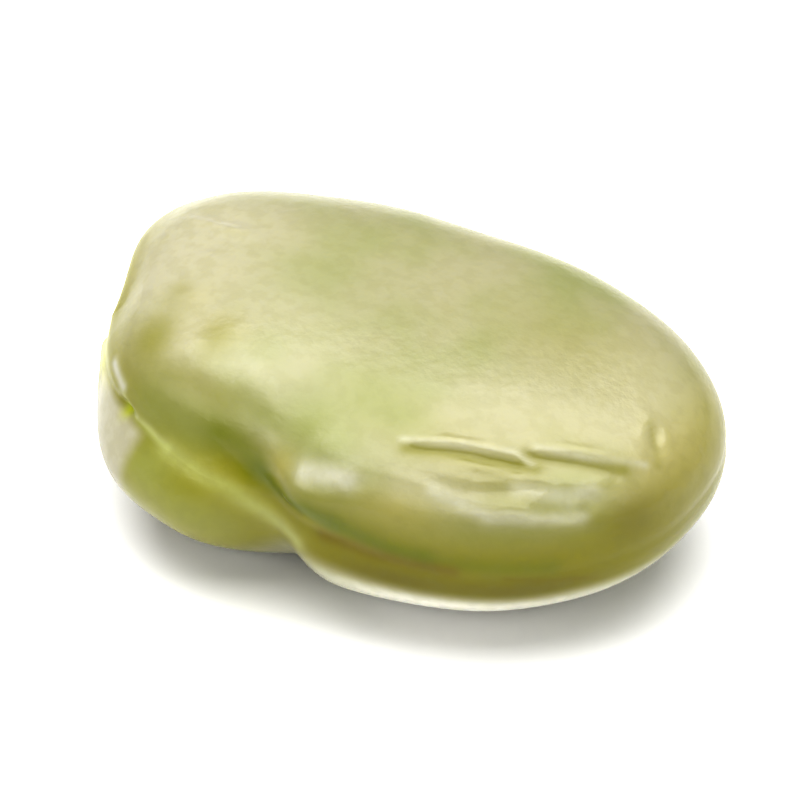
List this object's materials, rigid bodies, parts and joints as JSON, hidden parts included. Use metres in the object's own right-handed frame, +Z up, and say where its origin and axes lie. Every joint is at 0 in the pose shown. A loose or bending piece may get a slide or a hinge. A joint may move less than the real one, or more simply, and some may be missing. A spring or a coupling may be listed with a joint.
{
  "type": "broad bean",
  "caption": "Fresh shelled broad bean seed lying on its flatter side, with its seam, root bulge and dark hilum scar.",
  "frame": {"origin": "under the middle of the seed, on the surface that it lies on", "axes": "+X along the seed's length, away from the hilum end; +Y towards the plain back; +Z up through its thickness"},
  "size_m": [0.0268, 0.0182, 0.0106],
  "materials": {
    "seed_coat": "satin, pale green seed coat"
  },
  "bodies": {
    "root": {"broad_bean": "seed_coat"}
  },
  "joints": []
}
